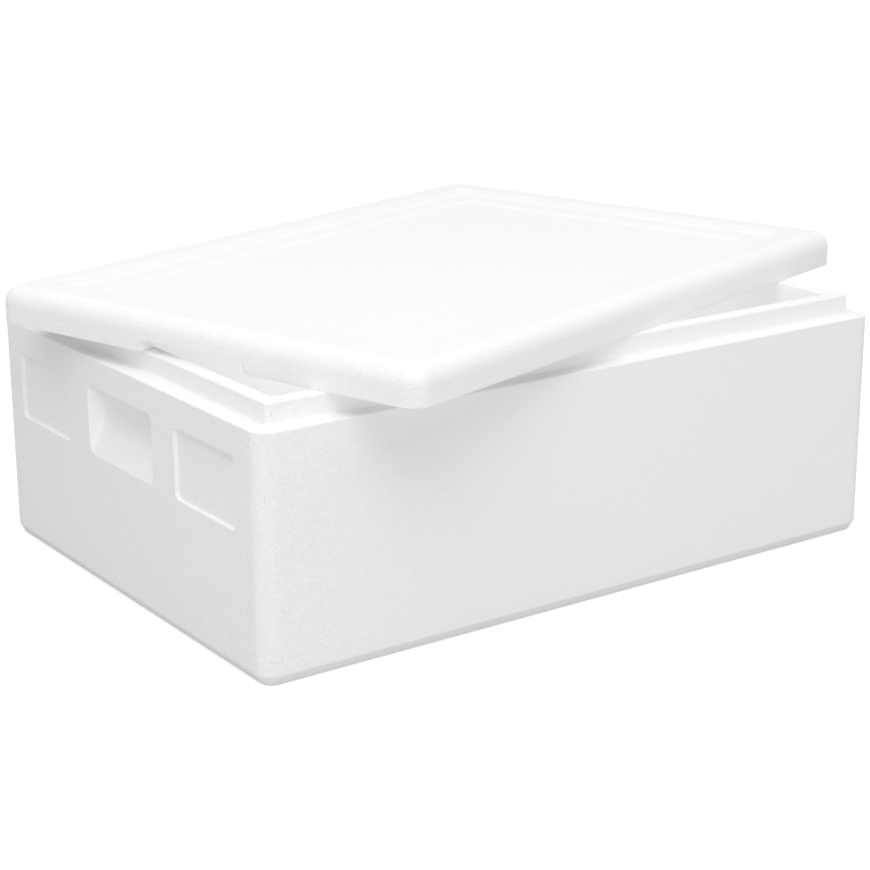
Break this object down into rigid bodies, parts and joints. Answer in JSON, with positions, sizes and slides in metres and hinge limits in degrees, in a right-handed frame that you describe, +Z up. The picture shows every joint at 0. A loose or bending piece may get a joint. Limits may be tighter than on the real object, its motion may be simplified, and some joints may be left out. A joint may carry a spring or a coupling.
{
  "type": "insulated foam box",
  "caption": "White moulded foam box with thick walls, a raised lip, a hand hold and shallow label panels in its ends, and a loose grooved lid that lies turned on top.",
  "frame": {"origin": "centre of the box's underside, on the surface it stands on", "axes": "+X along the box's long faces, +Y across it towards the back, +Z up"},
  "size_m": [0.6948, 0.5806, 0.238],
  "materials": {
    "white_foam": "matte moulded expanded polystyrene with a fine bead pattern"
  },
  "bodies": {
    "root": {"box": "white_foam", "lid": "white_foam"}
  },
  "joints": []
}
